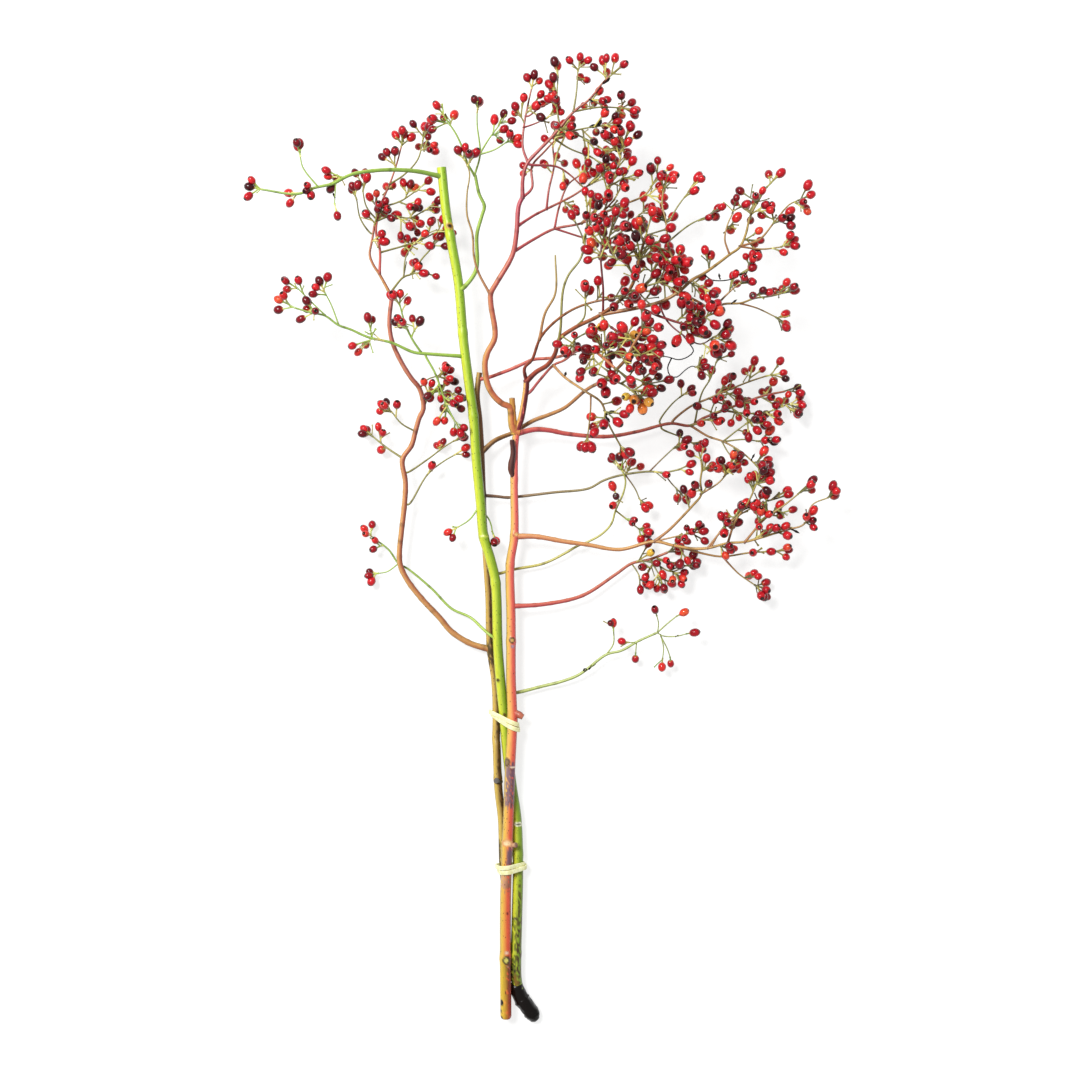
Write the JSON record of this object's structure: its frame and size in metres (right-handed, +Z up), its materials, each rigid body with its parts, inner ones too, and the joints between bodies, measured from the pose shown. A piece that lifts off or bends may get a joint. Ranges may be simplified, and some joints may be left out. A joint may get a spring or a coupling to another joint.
{
  "type": "rose hip sprig bundle",
  "caption": "Tied bundle of three long cut rose canes with many small round red hips on branching twigs, held by two rubber bands and lying flat.",
  "frame": {"origin": "on the surface that the bundle lies on, at the centre of its outline seen from above", "axes": "+Y along the canes, from the cut foot to the tips; +X to the side with most hips; +Z up, away from the surface"},
  "size_m": [0.458, 0.7618, 0.1488],
  "materials": {
    "red_bark": "satin",
    "green_bark": "satin",
    "olive_bark": "satin",
    "band_rubber": "matte"
  },
  "bodies": {
    "root": {"red_cane": "red_bark", "green_cane": "green_bark", "olive_cane": "olive_bark", "upper_band": "band_rubber", "lower_band": "band_rubber"}
  },
  "joints": []
}
